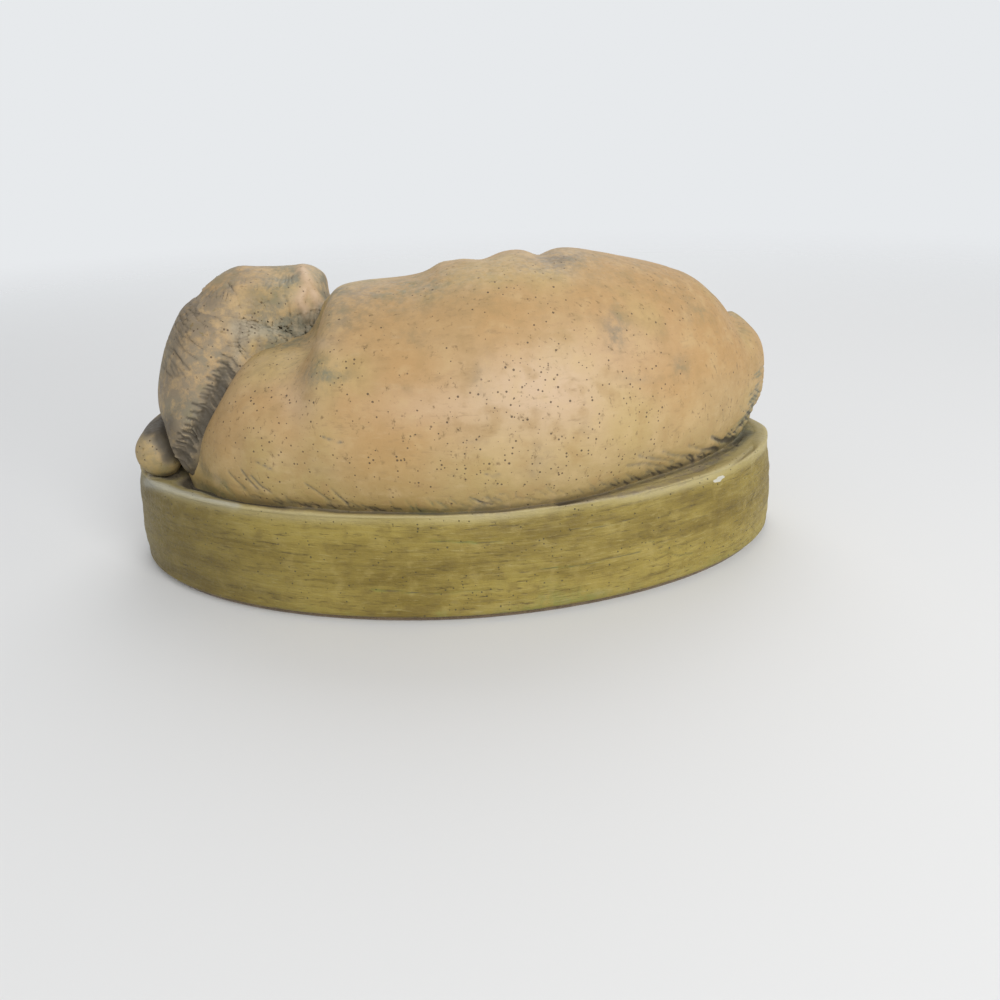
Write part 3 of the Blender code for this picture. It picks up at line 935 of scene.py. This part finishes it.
head_rows = stations([
    (-73, -43, 22, 9, 10, 20, 24),
    (-71, -31, 28, 14, 18, 38, 34),
    (-69, -12, 31, 20, 30, 46, 36),
    (-68, 12, 31, 23, 30, 48, 36),
    (-69, 34, 31, 20, 20, 41, 34),
    (-67, 50, 30, 15, 15, 28, 26),
    (-63, 64, 29, 11, 11, 20, 20),
    (-60, 73, 28, 9, 9, 15, 15),
    (-59, 78, 27, 7, 7, 11, 12),
], HALF_LENGTH)
head_grid = loft(head_rows, (0, 1, 0), (2.5, 4), (340, 280), 1.95)
NAPE_SLOPE = (-84, -12, 60, 13, 50, 28, -4.5)
head_grid = with_mounds(head_grid, [NAPE_SLOPE])
# Painted shade on the head: a little all over, more on its side toward the viewer and most on its side
# turned to the left.
head_wash = settled(head_grid) + 0.08 + 0.14 * facing(head_grid, TO_VIEW)
head_wash += 0.32 * facing(head_grid, (-1, -0.6, 0)) ** 2

NECK_CREASE = [(238, 348), (230, 366), (220, 384), (210, 402), (199, 422), (190, 442), (183, 458)]
NECK_CURL = np.array([(0, 0), (2.0, -3.0), (0, 0)])
neck_strokes = strokes_along(shifted(NECK_CREASE, -11, -5), 64, (15, 10), 1.6, 31)
neck_strokes = [stroke + NECK_CURL for stroke in neck_strokes]
FRINGE = [(238, 333), (262, 334), (285, 333), (318, 328)]
fringe_strokes = strokes_along(shifted(FRINGE, 0, -10), 60, (-2, 19), 1.3, 33)
NAPE_SHADE = [[(170, 372), (175, 398), (182, 422)]]
NAPE_ARCS = [
    [(187, 322), (190, 330), (197, 336)],
    [(181, 328), (186, 338), (195, 345)],
    [(180, 340), (187, 352), (198, 360)],
    [(190, 336), (196, 345), (204, 350)],
    [(196, 318), (202, 328), (210, 333)],
    [(206, 308), (210, 318), (218, 326)],
    [(176, 350), (183, 362), (190, 370)],
    [(214, 306), (216, 318), (222, 328)],
]
NAPE_EDGE = [(168, 366), (176, 330), (192, 310), (214, 300)]
# Painted shade under the jaw, where the chin meets the base.
UNDER_JAW = [[(166, 424), (172, 440), (180, 458), (190, 474)]]
head_grid, head_wash = draw_on(head_grid, head_wash, [
    ([NECK_CREASE], 8, 0.8, 0.34),
    (neck_strokes[::2], 1.1, 0.28, 0.30),
    (neck_strokes[1::2], 1.1, -0.22, -0.14),
    ([FRINGE], 12, 0.1, 0.06),
    (fringe_strokes, 1.0, 0.24, 0.27),
    (NAPE_SHADE, 18, 0.0, 0.13),
    (NAPE_ARCS, 1.0, 0.20, 0.22),
    (strokes_along(NAPE_EDGE, 46, (8, 12), 2.6, 35), 0.9, 0.14, 0.14),
    (UNDER_JAW, 10, 0.3, 0.24),
])

EYE_LIDS = [
    [(0.66, 46), (0.685, 38), (0.72, 35), (0.755, 39), (0.775, 46)],
    [(0.66, 134), (0.685, 142), (0.72, 145), (0.755, 141), (0.775, 134)],
]
EYE_SOCKETS = [[(0.67, 50), (0.72, 44), (0.77, 50)], [(0.67, 130), (0.72, 136), (0.77, 130)]]
EYE_BALLS = [[(0.70, 43), (0.74, 43)], [(0.70, 137), (0.74, 137)]]
FROWN = [[(0.60, 90), (0.70, 90), (0.78, 90)]]
MOUTH = [
    [(0.965, 270), (0.945, 310), (0.90, 335), (0.84, 345), (0.79, 352)],
    [(0.965, 270), (0.945, 230), (0.90, 205), (0.84, 195), (0.79, 188)],
]
NOSE = [[(0.955, 60), (0.965, 90), (0.955, 120)], [(0.975, 50), (0.98, 90), (0.975, 130)]]
NOSTRILS = [[(0.978, 40), (0.985, 52)], [(0.978, 140), (0.985, 128)]]
PHILTRUM = [[(0.985, 90), (0.99, 270), (0.965, 270)]]
head_grid, head_wash = carve(head_grid, head_wash, [
    (EYE_SOCKETS, 3.2, 0.8, 0.14),
    (EYE_BALLS, 2.1, -0.7, -0.10),
    (EYE_LIDS, 0.40, 0.5, 0.70),
    (FROWN, 1.6, 0.35, 0.12),
    (MOUTH, 0.5, 0.5, 0.7),
    (NOSE, 1.9, -0.9, 0.80),
    (NOSTRILS, 0.6, 0.8, 0.9),
    (PHILTRUM, 0.4, 0.4, 0.6),
])
HEAD_COAT = [
    ((0.38, 0.60, 30, 150), 60, (0.05, 0), 41, 0.16),
    ((0.55, 0.80, 150, 200), 45, (0.05, -5), 42, 0.16),
    ((0.78, 0.92, 20, 160), 40, (-0.03, 0), 43, 0.12),
]
for strokes in HEAD_COAT:
    head_grid, head_wash = coat(head_grid, head_wash, *strokes)

on_head = in_picture(head_grid)
head_dust = marked(on_head, [FRINGE], 10) + 0.6 * marked(on_head, [NECK_CREASE], 9)
head_dust *= facing(head_grid, TO_VIEW)
head = finish_form("head", head_grid, head_wash, "head", pits=0.05, dusty=head_dust)


# Ears
# The upper ear is a thick flap thrown back over the neck, with a blunt tip. The lower one lies along the
# cheek. Both were modelled apart and smoothed into the head before the mould was made.

right_ear_rows = stations([
    (-73, -4, 60, 20, 12, 8, 16),
    (-69, -4, 71, 24, 14, 11, 22),
    (-62, -4, 79, 24, 15, 10, 26),
    (-51, -4, 80, 22, 15, 9.5, 28),
    (-42, -4, 80, 20, 14, 10, 27),
    (-38, -4, 78, 17, 12, 9, 22),
], HALF_WIDTH)
ear_grid = loft(right_ear_rows, (1, 0, 0), (2, 2), (230, 280), 2.6, 28)
ear_grid = waved(ear_grid, 0.010, 0.00034, 51)
# A grey wash over the whole ear, and painted shade on its side turned to the left.
ear_wash = settled(ear_grid) + 0.22 + 0.18 * facing(ear_grid, (-1, 0, 0))

# The ridge is raised, and painted paler and rosy along its length as a highlight.
EAR_RIDGE = [[(302, 270), (309, 284), (318, 302), (322, 316)], [(306, 288), (300, 300), (308, 316)]]
EAR_HOLLOWS = [
    [(249, 302), (256, 306), (264, 304)],
    [(238, 320), (243, 312), (252, 311), (255, 320)],
    [(256, 300), (262, 303), (268, 301)],
    [(284, 296), (288, 305), (290, 314)],
    [(230, 286), (236, 294), (240, 304)],
]
EAR_SHADE = [[(232, 314), (262, 318), (292, 318)], [(254, 306), (282, 306)]]
# Painted shade at the ear's root and on its blunt end.
EAR_ROOT = [[(192, 286), (206, 298), (220, 310), (234, 322)]]
EAR_END = [[(325, 274), (327, 290), (326, 312)]]
HEM = [(238, 324), (262, 328), (290, 326), (322, 316)]
EAR_TOP = [(214, 292), (240, 284), (280, 278), (300, 276)]
hem_strokes = strokes_along(shifted(HEM, 0, -8), 90, (-1, 22), 1.3, 52)
ear_grid, ear_wash = draw_on(ear_grid, ear_wash, [
    (EAR_RIDGE, 5, -0.6, -0.42),
    (EAR_HOLLOWS, 1.8, 0.35, 0.24),
    (EAR_SHADE, 11, 0.0, 0.22),
    (EAR_ROOT, 12, 0.0, 0.18),
    (EAR_END, 5, 0.0, 0.40),
    ([shifted(HEM, 0, 6)], 14, 0.0, 0.27),
    (hem_strokes[::2], 1.0, 0.28, 0.18),
    (hem_strokes[1::2], 1.1, -0.22, -0.10),
    (strokes_along(EAR_TOP, 24, (-4, 10), 2.2, 53), 1.0, 0.1, 0.14),
])
on_ear = in_picture(ear_grid)
seen_ear = facing(ear_grid, TO_VIEW)
ear_pale = marked(on_ear, EAR_RIDGE, 8) * seen_ear
ear_dust = marked(on_ear, [shifted(HEM, 0, 2)], 11) * seen_ear
right_ear = finish_form("right_ear", ear_grid, ear_wash, "right_ear", ear_pale, 0.0, ear_dust)

left_ear_rows = stations([
    (-84.5, 6, 46, 3, 3, 10, 11),
    (-87.5, 18, 42, 3.4, 3.4, 15, 16),
    (-90, 33, 34, 3.4, 3.4, 18, 18),
    (-87, 48, 25, 3.2, 3.2, 15, 15),
    (-83, 59, 19, 3, 3, 9, 9),
], HALF_LENGTH)
ear_grid = loft(left_ear_rows, (0, 1, 0), (1.5, 2), (180, 200))
ear_wash = settled(ear_grid)
ear_grid, ear_wash = coat(ear_grid, ear_wash, (0.15, 0.9, 120, 240), 90, (0.07, -6), 54)
left_ear = finish_form("left_ear", ear_grid, ear_wash, "left_ear")


# Forelegs
# The lower foreleg runs along the rim round the head, and its paw is the ball at the photo's left edge. The
# upper one comes from the shoulder and has its paw under the chin. Both are cast with the body.

TOE_LENGTH = 0.72
TOE_TURN = 38.4


def with_toes(grid, wash, share):
    """Three grooves between four toes, over the front of a paw that starts at the share along the limb."""
    tip = share + (1 - share) * TOE_LENGTH
    lines = [[(share, 90 + turn), (tip, 90 + 1.1 * turn)] for turn in (-TOE_TURN, 0, TOE_TURN)]
    return carve(grid, wash, [(lines, 0.5, 0.6, 0.45)])


def limb(name, rows, ends, counts, toes=None, strokes=None, node=None):
    """A plain form of the puppy with the toes and the strokes of coat that it has, painted and fixed."""
    grid = loft(stations(rows, HALF_WIDTH), None, ends, counts)
    wash = settled(grid)
    if toes:
        grid, wash = with_toes(grid, wash, toes)
    if strokes:
        grid, wash = coat(grid, wash, *strokes)
    return finish_form(name, grid, wash, node or name)


left_foreleg_rows = stations([
    (-62, 76, 12, 10, 10, 9, 10),
    (-76, 62, 12, 11, 11, 10, 11),
    (-88, 34, 12, 11, 11, 10, 11),
    (-91, 4, 12, 10, 11, 10, 12),
    (-89, -20, 12, 12, 12, 11, 12),
    (-88, -30, 12, 12, 12, 11, 12),
], HALF_WIDTH)
leg_grid = loft(left_foreleg_rows, None, (3, 4.5), (270, 130))
PAW_SHADE = [[(164, 424), (160, 440), (167, 458)], [(148, 428), (162, 424)]]
# The paw is darkened on its side toward the viewer, and painted shade lies where it meets the head.
leg_wash = settled(leg_grid) + 0.36 * facing(leg_grid, TO_VIEW)
leg_grid, leg_wash = draw_on(leg_grid, leg_wash, [(PAW_SHADE, 9, 0.0, 0.55)])
leg_grid, leg_wash = coat(leg_grid, leg_wash, (0.1, 0.8, 60, 200), 70, (0.05, -5), 61)
left_foreleg = finish_form("left_foreleg", leg_grid, leg_wash, "left_foreleg")

right_foreleg = limb("right_foreleg", [
    (-6, 24, 34, 22, 22, 22, 24),
    (-19, 50, 26, 19, 19, 18, 20),
    (-34, 69, 17, 14, 14, 14, 15),
    (-48, 74, 12, 12, 12, 12, 12),
    (-59, 70, 12, 12, 12, 12, 12),
], (5, 5), (270, 130), 0.87, ((0.15, 0.75, 20, 160), 90, (0.05, -5), 62))


# Hind legs
# The upper hind leg is a round thigh folded against the belly over its own foot. Of the lower one only the
# foot comes out from under the belly. Both are cast with the body.

thigh = limb("right_hind_leg", [
    (80, 28, 38, 20, 20, 22, 22),
    (66, 42, 42, 30, 30, 32, 32),
    (50, 55, 38, 30, 30, 30, 30),
    (36, 66, 31, 25, 25, 22, 24),
    (25, 71, 26, 18, 18, 15, 17),
], (8, 8), (270, 190), strokes=((0.2, 0.9, 10, 130), 150, (0.05, -4), 71))

hind_foot = limb("right_hind_foot", [
    (62, 62, 12, 9, 9, 9, 12),
    (48, 74, 12, 10, 10, 10, 12),
    (34, 81, 11, 10, 10, 9, 12),
    (22, 84, 11, 12, 12, 11, 12),
    (16, 85, 11, 11, 11, 10, 12),
], (3, 4.5), (240, 120), 0.84, node="right_hind_leg")

left_hind_leg = limb("left_hind_leg", [
    (26, 50, 12, 10, 10, 9, 12),
    (10, 68, 11, 10, 10, 9, 12),
    (-1, 79, 11, 12, 12, 11, 12),
    (-7, 82, 11, 11, 11, 10, 12),
], (3, 4.5), (220, 120), 0.80)


# Tail
# The tail curls from the rump along the far rim and over the hind foot, and tapers to a soft tip. It is cast
# with the body and brushed with the same paint.

tail = limb("tail", [
    (90, 22, 16, 10, 10, 11, 11),
    (87, 37, 15, 10, 10, 11, 11),
    (78, 54, 15, 10, 10, 10, 10),
    (65, 69, 19, 9, 9, 8, 9),
    (51, 78, 25, 7, 7, 6, 7),
    (40, 82, 26, 5, 5, 4, 5),
], (3, 2.5), (250, 110), strokes=((0.1, 0.97, 0, 180), 130, (0.07, -5), 81))


# Creases
# Where two forms of the casting meet, the clay was smoothed from one into the other, or the sculptor's tool
# left a soft groove. The wash collects in it, and painted shade darkens it further.


def points_of(piece):
    """A piece's points and their normals."""
    count = len(piece.data.vertices)
    points, normals = np.empty(count * 3, np.float32), np.empty(count * 3, np.float32)
    piece.data.vertices.foreach_get("co", points)
    piece.data.vertex_normals.foreach_get("vector", normals)
    return points.reshape(-1, 3), normals.reshape(-1, 3)


SLICES = 80
POINT_GAP = 0.0007


def height_over(points, surface, reach):
    """Height of each point above the nearest part of a surface, below zero inside it.

    Where the surface is farther away than the reach, the height is the reach, or its opposite inside. The
    points are taken in slices along X, and the wider the reach, the fewer of the surface's points.
    """
    others, normals = surface
    height = np.full(len(points), reach, np.float32)
    for part in np.array_split(np.argsort(points[:, 0]), SLICES):
        near = points[part]
        low, high = near.min(0) - reach, near.max(0) + reach
        close = np.flatnonzero(((others > low) & (others < high)).all(1))[:: int(2 + reach / POINT_GAP)]
        if len(close) == 0:
            continue
        square = (near**2).sum(1)[:, None] + (others[close] ** 2).sum(1) - 2 * near @ others[close].T
        nearest = close[square.argmin(1)]
        away = near - others[nearest]
        over = (away * normals[nearest]).sum(1)
        height[part] = np.where((away**2).sum(1) < reach**2, over, np.where(over < 0, -reach, reach))
    return height


def close_to(points, others, reach):
    """Which of the points lie in the others' box, widened by the reach."""
    low, high = others.min(0) - reach, others.max(0) + reach
    return np.flatnonzero(((points > low) & (points < high)).all(1))


def soften(first, second, reach):
    """Fills the angle between two forms, as a sculptor smooths clay into it.

    A point rises by a quarter of the reach times the square of 1 less a share. The share is the point's
    height over the other form, less its rise, over the reach. Four rounds find a rise that fits itself.
    A point that is buried by the whole reach stays where it is.
    """
    both = [points_of(first), points_of(second)]
    for piece, own, other in ((first, both[0], both[1]), (second, both[1], both[0])):
        points, normals = own
        near = close_to(points, other[0], reach)
        rise = np.zeros(len(near), np.float32)
        for _ in range(4):
            over = height_over(points[near] + normals[near] * rise[:, None], other, 1.2 * reach)
            buried = np.clip(2.5 * (over / reach + 1), 0, 1)
            rise = reach / 4 * (1 - np.clip((over - rise) / reach, 0, 1)) ** 2 * buried
        points[near] += normals[near] * rise[:, None]
        piece.data.vertices.foreach_set("co", points.ravel())
        piece.data.update()


def meet(first, second, width, depth, share=1.0, stain=0.5):
    """Sinks both pieces along the line where they meet and darkens them there, the second by its share.

    The mark is e to the minus squared height over the other piece, over the width.
    """
    both = [points_of(first), points_of(second)]
    for piece, own, other, part in ((first, both[0], both[1], 1.0), (second, both[1], both[0], share)):
        points, normals = own
        near = close_to(points, other[0], 3 * width)
        mark = part * np.exp(-((height_over(points[near], other, 3 * width) / width) ** 2))
        points[near] -= normals[near] * (mark * depth)[:, None]
        piece.data.vertices.foreach_set("co", points.ravel())
        # The darkening is painted shade in the crease, with the wash that collects there.
        wash = np.empty(len(points), np.float32)
        piece.data.attributes["wash"].data.foreach_get("value", wash)
        wash[near] = np.clip(wash[near] + mark * stain, 0, 1)
        piece.data.attributes["wash"].data.foreach_set("value", wash)
        piece.data.update()


for first, second, reach in (
    (right_ear, head, 0.0090),
    (right_ear, body, 0.0024),
    (left_ear, head, 0.0024),
    (right_foreleg, body, 0.0080),
    (thigh, body, 0.0080),
    (left_hind_leg, body, 0.0050),
    (tail, body, 0.0050),
    (right_foreleg, left_foreleg, 0.0020),
    (hind_foot, thigh, 0.0030),
    (left_foreleg, base, 0.0012),
):
    soften(first, second, reach)

meet(base, body, 0.0014, 0.0006, 0.25, 0.66)
meet(base, head, 0.0024, 0.0008, 0.5, 0.60)
meet(base, left_foreleg, 0.0016, 0.0004, 0.3, 0.5)
meet(head, body, 0.0013, 0.0004, 0.15, 0.25)
meet(right_ear, body, 0.0009, 0.0002, 0.5, 0.15)
meet(left_ear, head, 0.0009, 0.0002)
meet(left_foreleg, head, 0.0012, 0.0003)
meet(right_foreleg, head, 0.0012, 0.0003)
for piece, other in (
    (right_foreleg, body),
    (right_foreleg, left_foreleg),
    (thigh, body),
    (hind_foot, thigh),
    (left_hind_leg, body),
    (left_hind_leg, hind_foot),
    (left_hind_leg, thigh),
    (tail, body),
    (tail, thigh),
    (tail, hind_foot),
):
    meet(piece, other, 0.0010, 0.0002, stain=0.35)
for piece in (right_foreleg, thigh, hind_foot, left_hind_leg, tail):
    meet(base, piece, 0.0014, 0.0004, 0.3, 0.42)


# Studio
# A pale floor that fades into the pale backdrop, a wide soft lamp in front at the right, a weaker one at the
# left and one behind.

LAMP_AIM = Vector((0, 0, 0.03))


def soft_lamp(name, place, size, power):
    """A square lamp at the place, aimed at the figurine."""
    lamp = bpy.data.lights.new(name, "AREA")
    lamp.size = size
    lamp.energy = power
    made = bpy.data.objects.new(name, lamp)
    made.location = place
    made.rotation_euler = (LAMP_AIM - Vector(place)).to_track_quat("-Z", "Y").to_euler()
    bpy.context.collection.objects.link(made)


soft_lamp("key", (0.32, -0.66, 0.48), 0.6, 5.9)
soft_lamp("fill", (-0.6, -0.45, 0.45), 0.8, 0.4)
soft_lamp("back", (0.1, 0.6, 0.7), 0.7, 3.0)

BACKDROP = (0.80, 0.82, 0.84, 1)
SKY_LIGHT = (0.34, 0.35, 0.37, 1)
world = bpy.data.worlds.new("studio")
bpy.context.scene.world = world
world.use_nodes = True
sky = world.node_tree
ray = sky.nodes.new("ShaderNodeLightPath").outputs
seen_directly = worked(sky, "MAXIMUM", ray["Is Camera Ray"], ray["Is Glossy Ray"])
background = sky.nodes["Background"]
sky.links.new(blended(sky, seen_directly, SKY_LIGHT, BACKDROP), background.inputs["Color"])
background.inputs["Strength"].default_value = 1.0

FLOOR_FADE = (0.16, 0.75)
FLOOR_GREY = (0.80, 0.80, 0.79, 1)
floor_mesh = bpy.data.meshes.new("floor")
floor_mesh.from_pydata([(-3, -3, 0), (3, -3, 0), (3, 3, 0), (-3, 3, 0)], [], [(0, 1, 2, 3)])
floor = bpy.data.objects.new("floor", floor_mesh)
bpy.context.collection.objects.link(floor)
material, tree, shader, place = new_material("floor", 0.8, 0.2)
shader.inputs["Base Color"].default_value = FLOOR_GREY
reach = node(tree, "ShaderNodeVectorMath", {0: place}, operation="LENGTH").outputs["Value"]
clear = tree.nodes.new("ShaderNodeBsdfTransparent").outputs[0]
mixed = {0: ranged(tree, reach, *FLOOR_FADE), 1: shader.outputs[0], 2: clear}
faded = node(tree, "ShaderNodeMixShader", mixed)
tree.links.new(faded.outputs[0], tree.nodes["Material Output"].inputs["Surface"])
floor_mesh.materials.append(material)

bpy.context.scene.view_settings.view_transform = "Standard"
